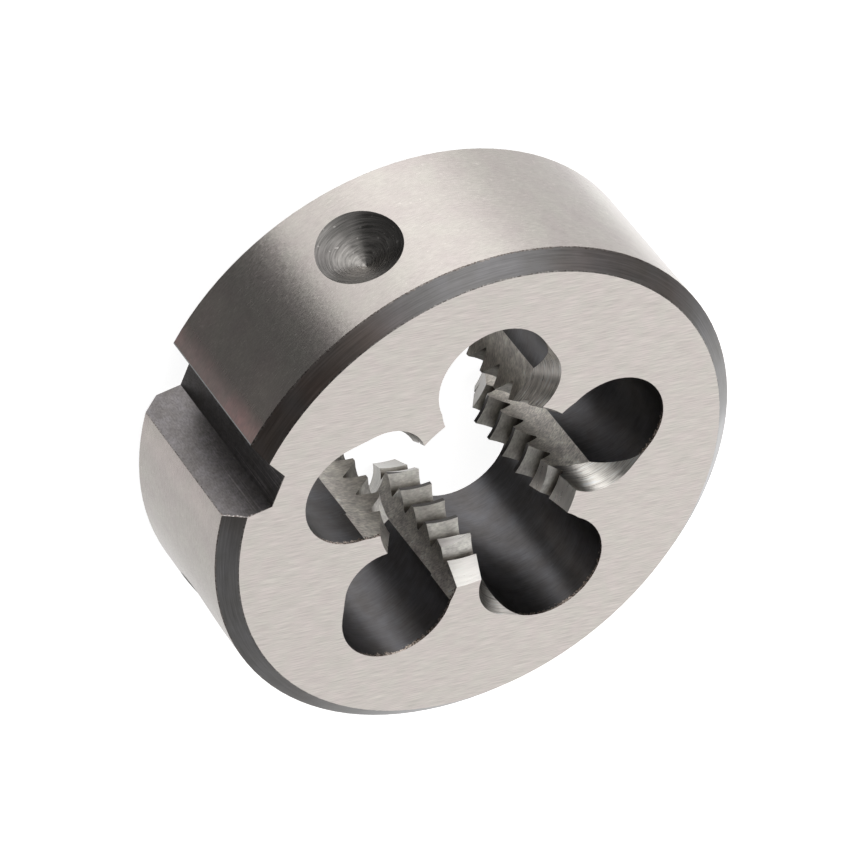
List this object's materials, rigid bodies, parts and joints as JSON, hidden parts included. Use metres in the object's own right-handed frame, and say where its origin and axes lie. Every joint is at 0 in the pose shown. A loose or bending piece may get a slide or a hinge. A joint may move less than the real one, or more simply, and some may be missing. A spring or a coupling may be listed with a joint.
{
  "type": "round threading die",
  "caption": "Solid round threading die with chip holes around the thread, a clamping notch and two screw dimples in the rim.",
  "frame": {"origin": "on the bore axis in the back face, which is the face the die lies on", "axes": "+Z along the bore axis, out of the front face; +X through the middle of the notch in the rim; +Y completes the right-handed frame"},
  "size_m": [0.0249, 0.025, 0.009],
  "materials": {
    "tool_steel": "ground faces, darker turned chamfers and drilled holes"
  },
  "bodies": {
    "root": {"threading_die": "tool_steel"}
  },
  "joints": []
}
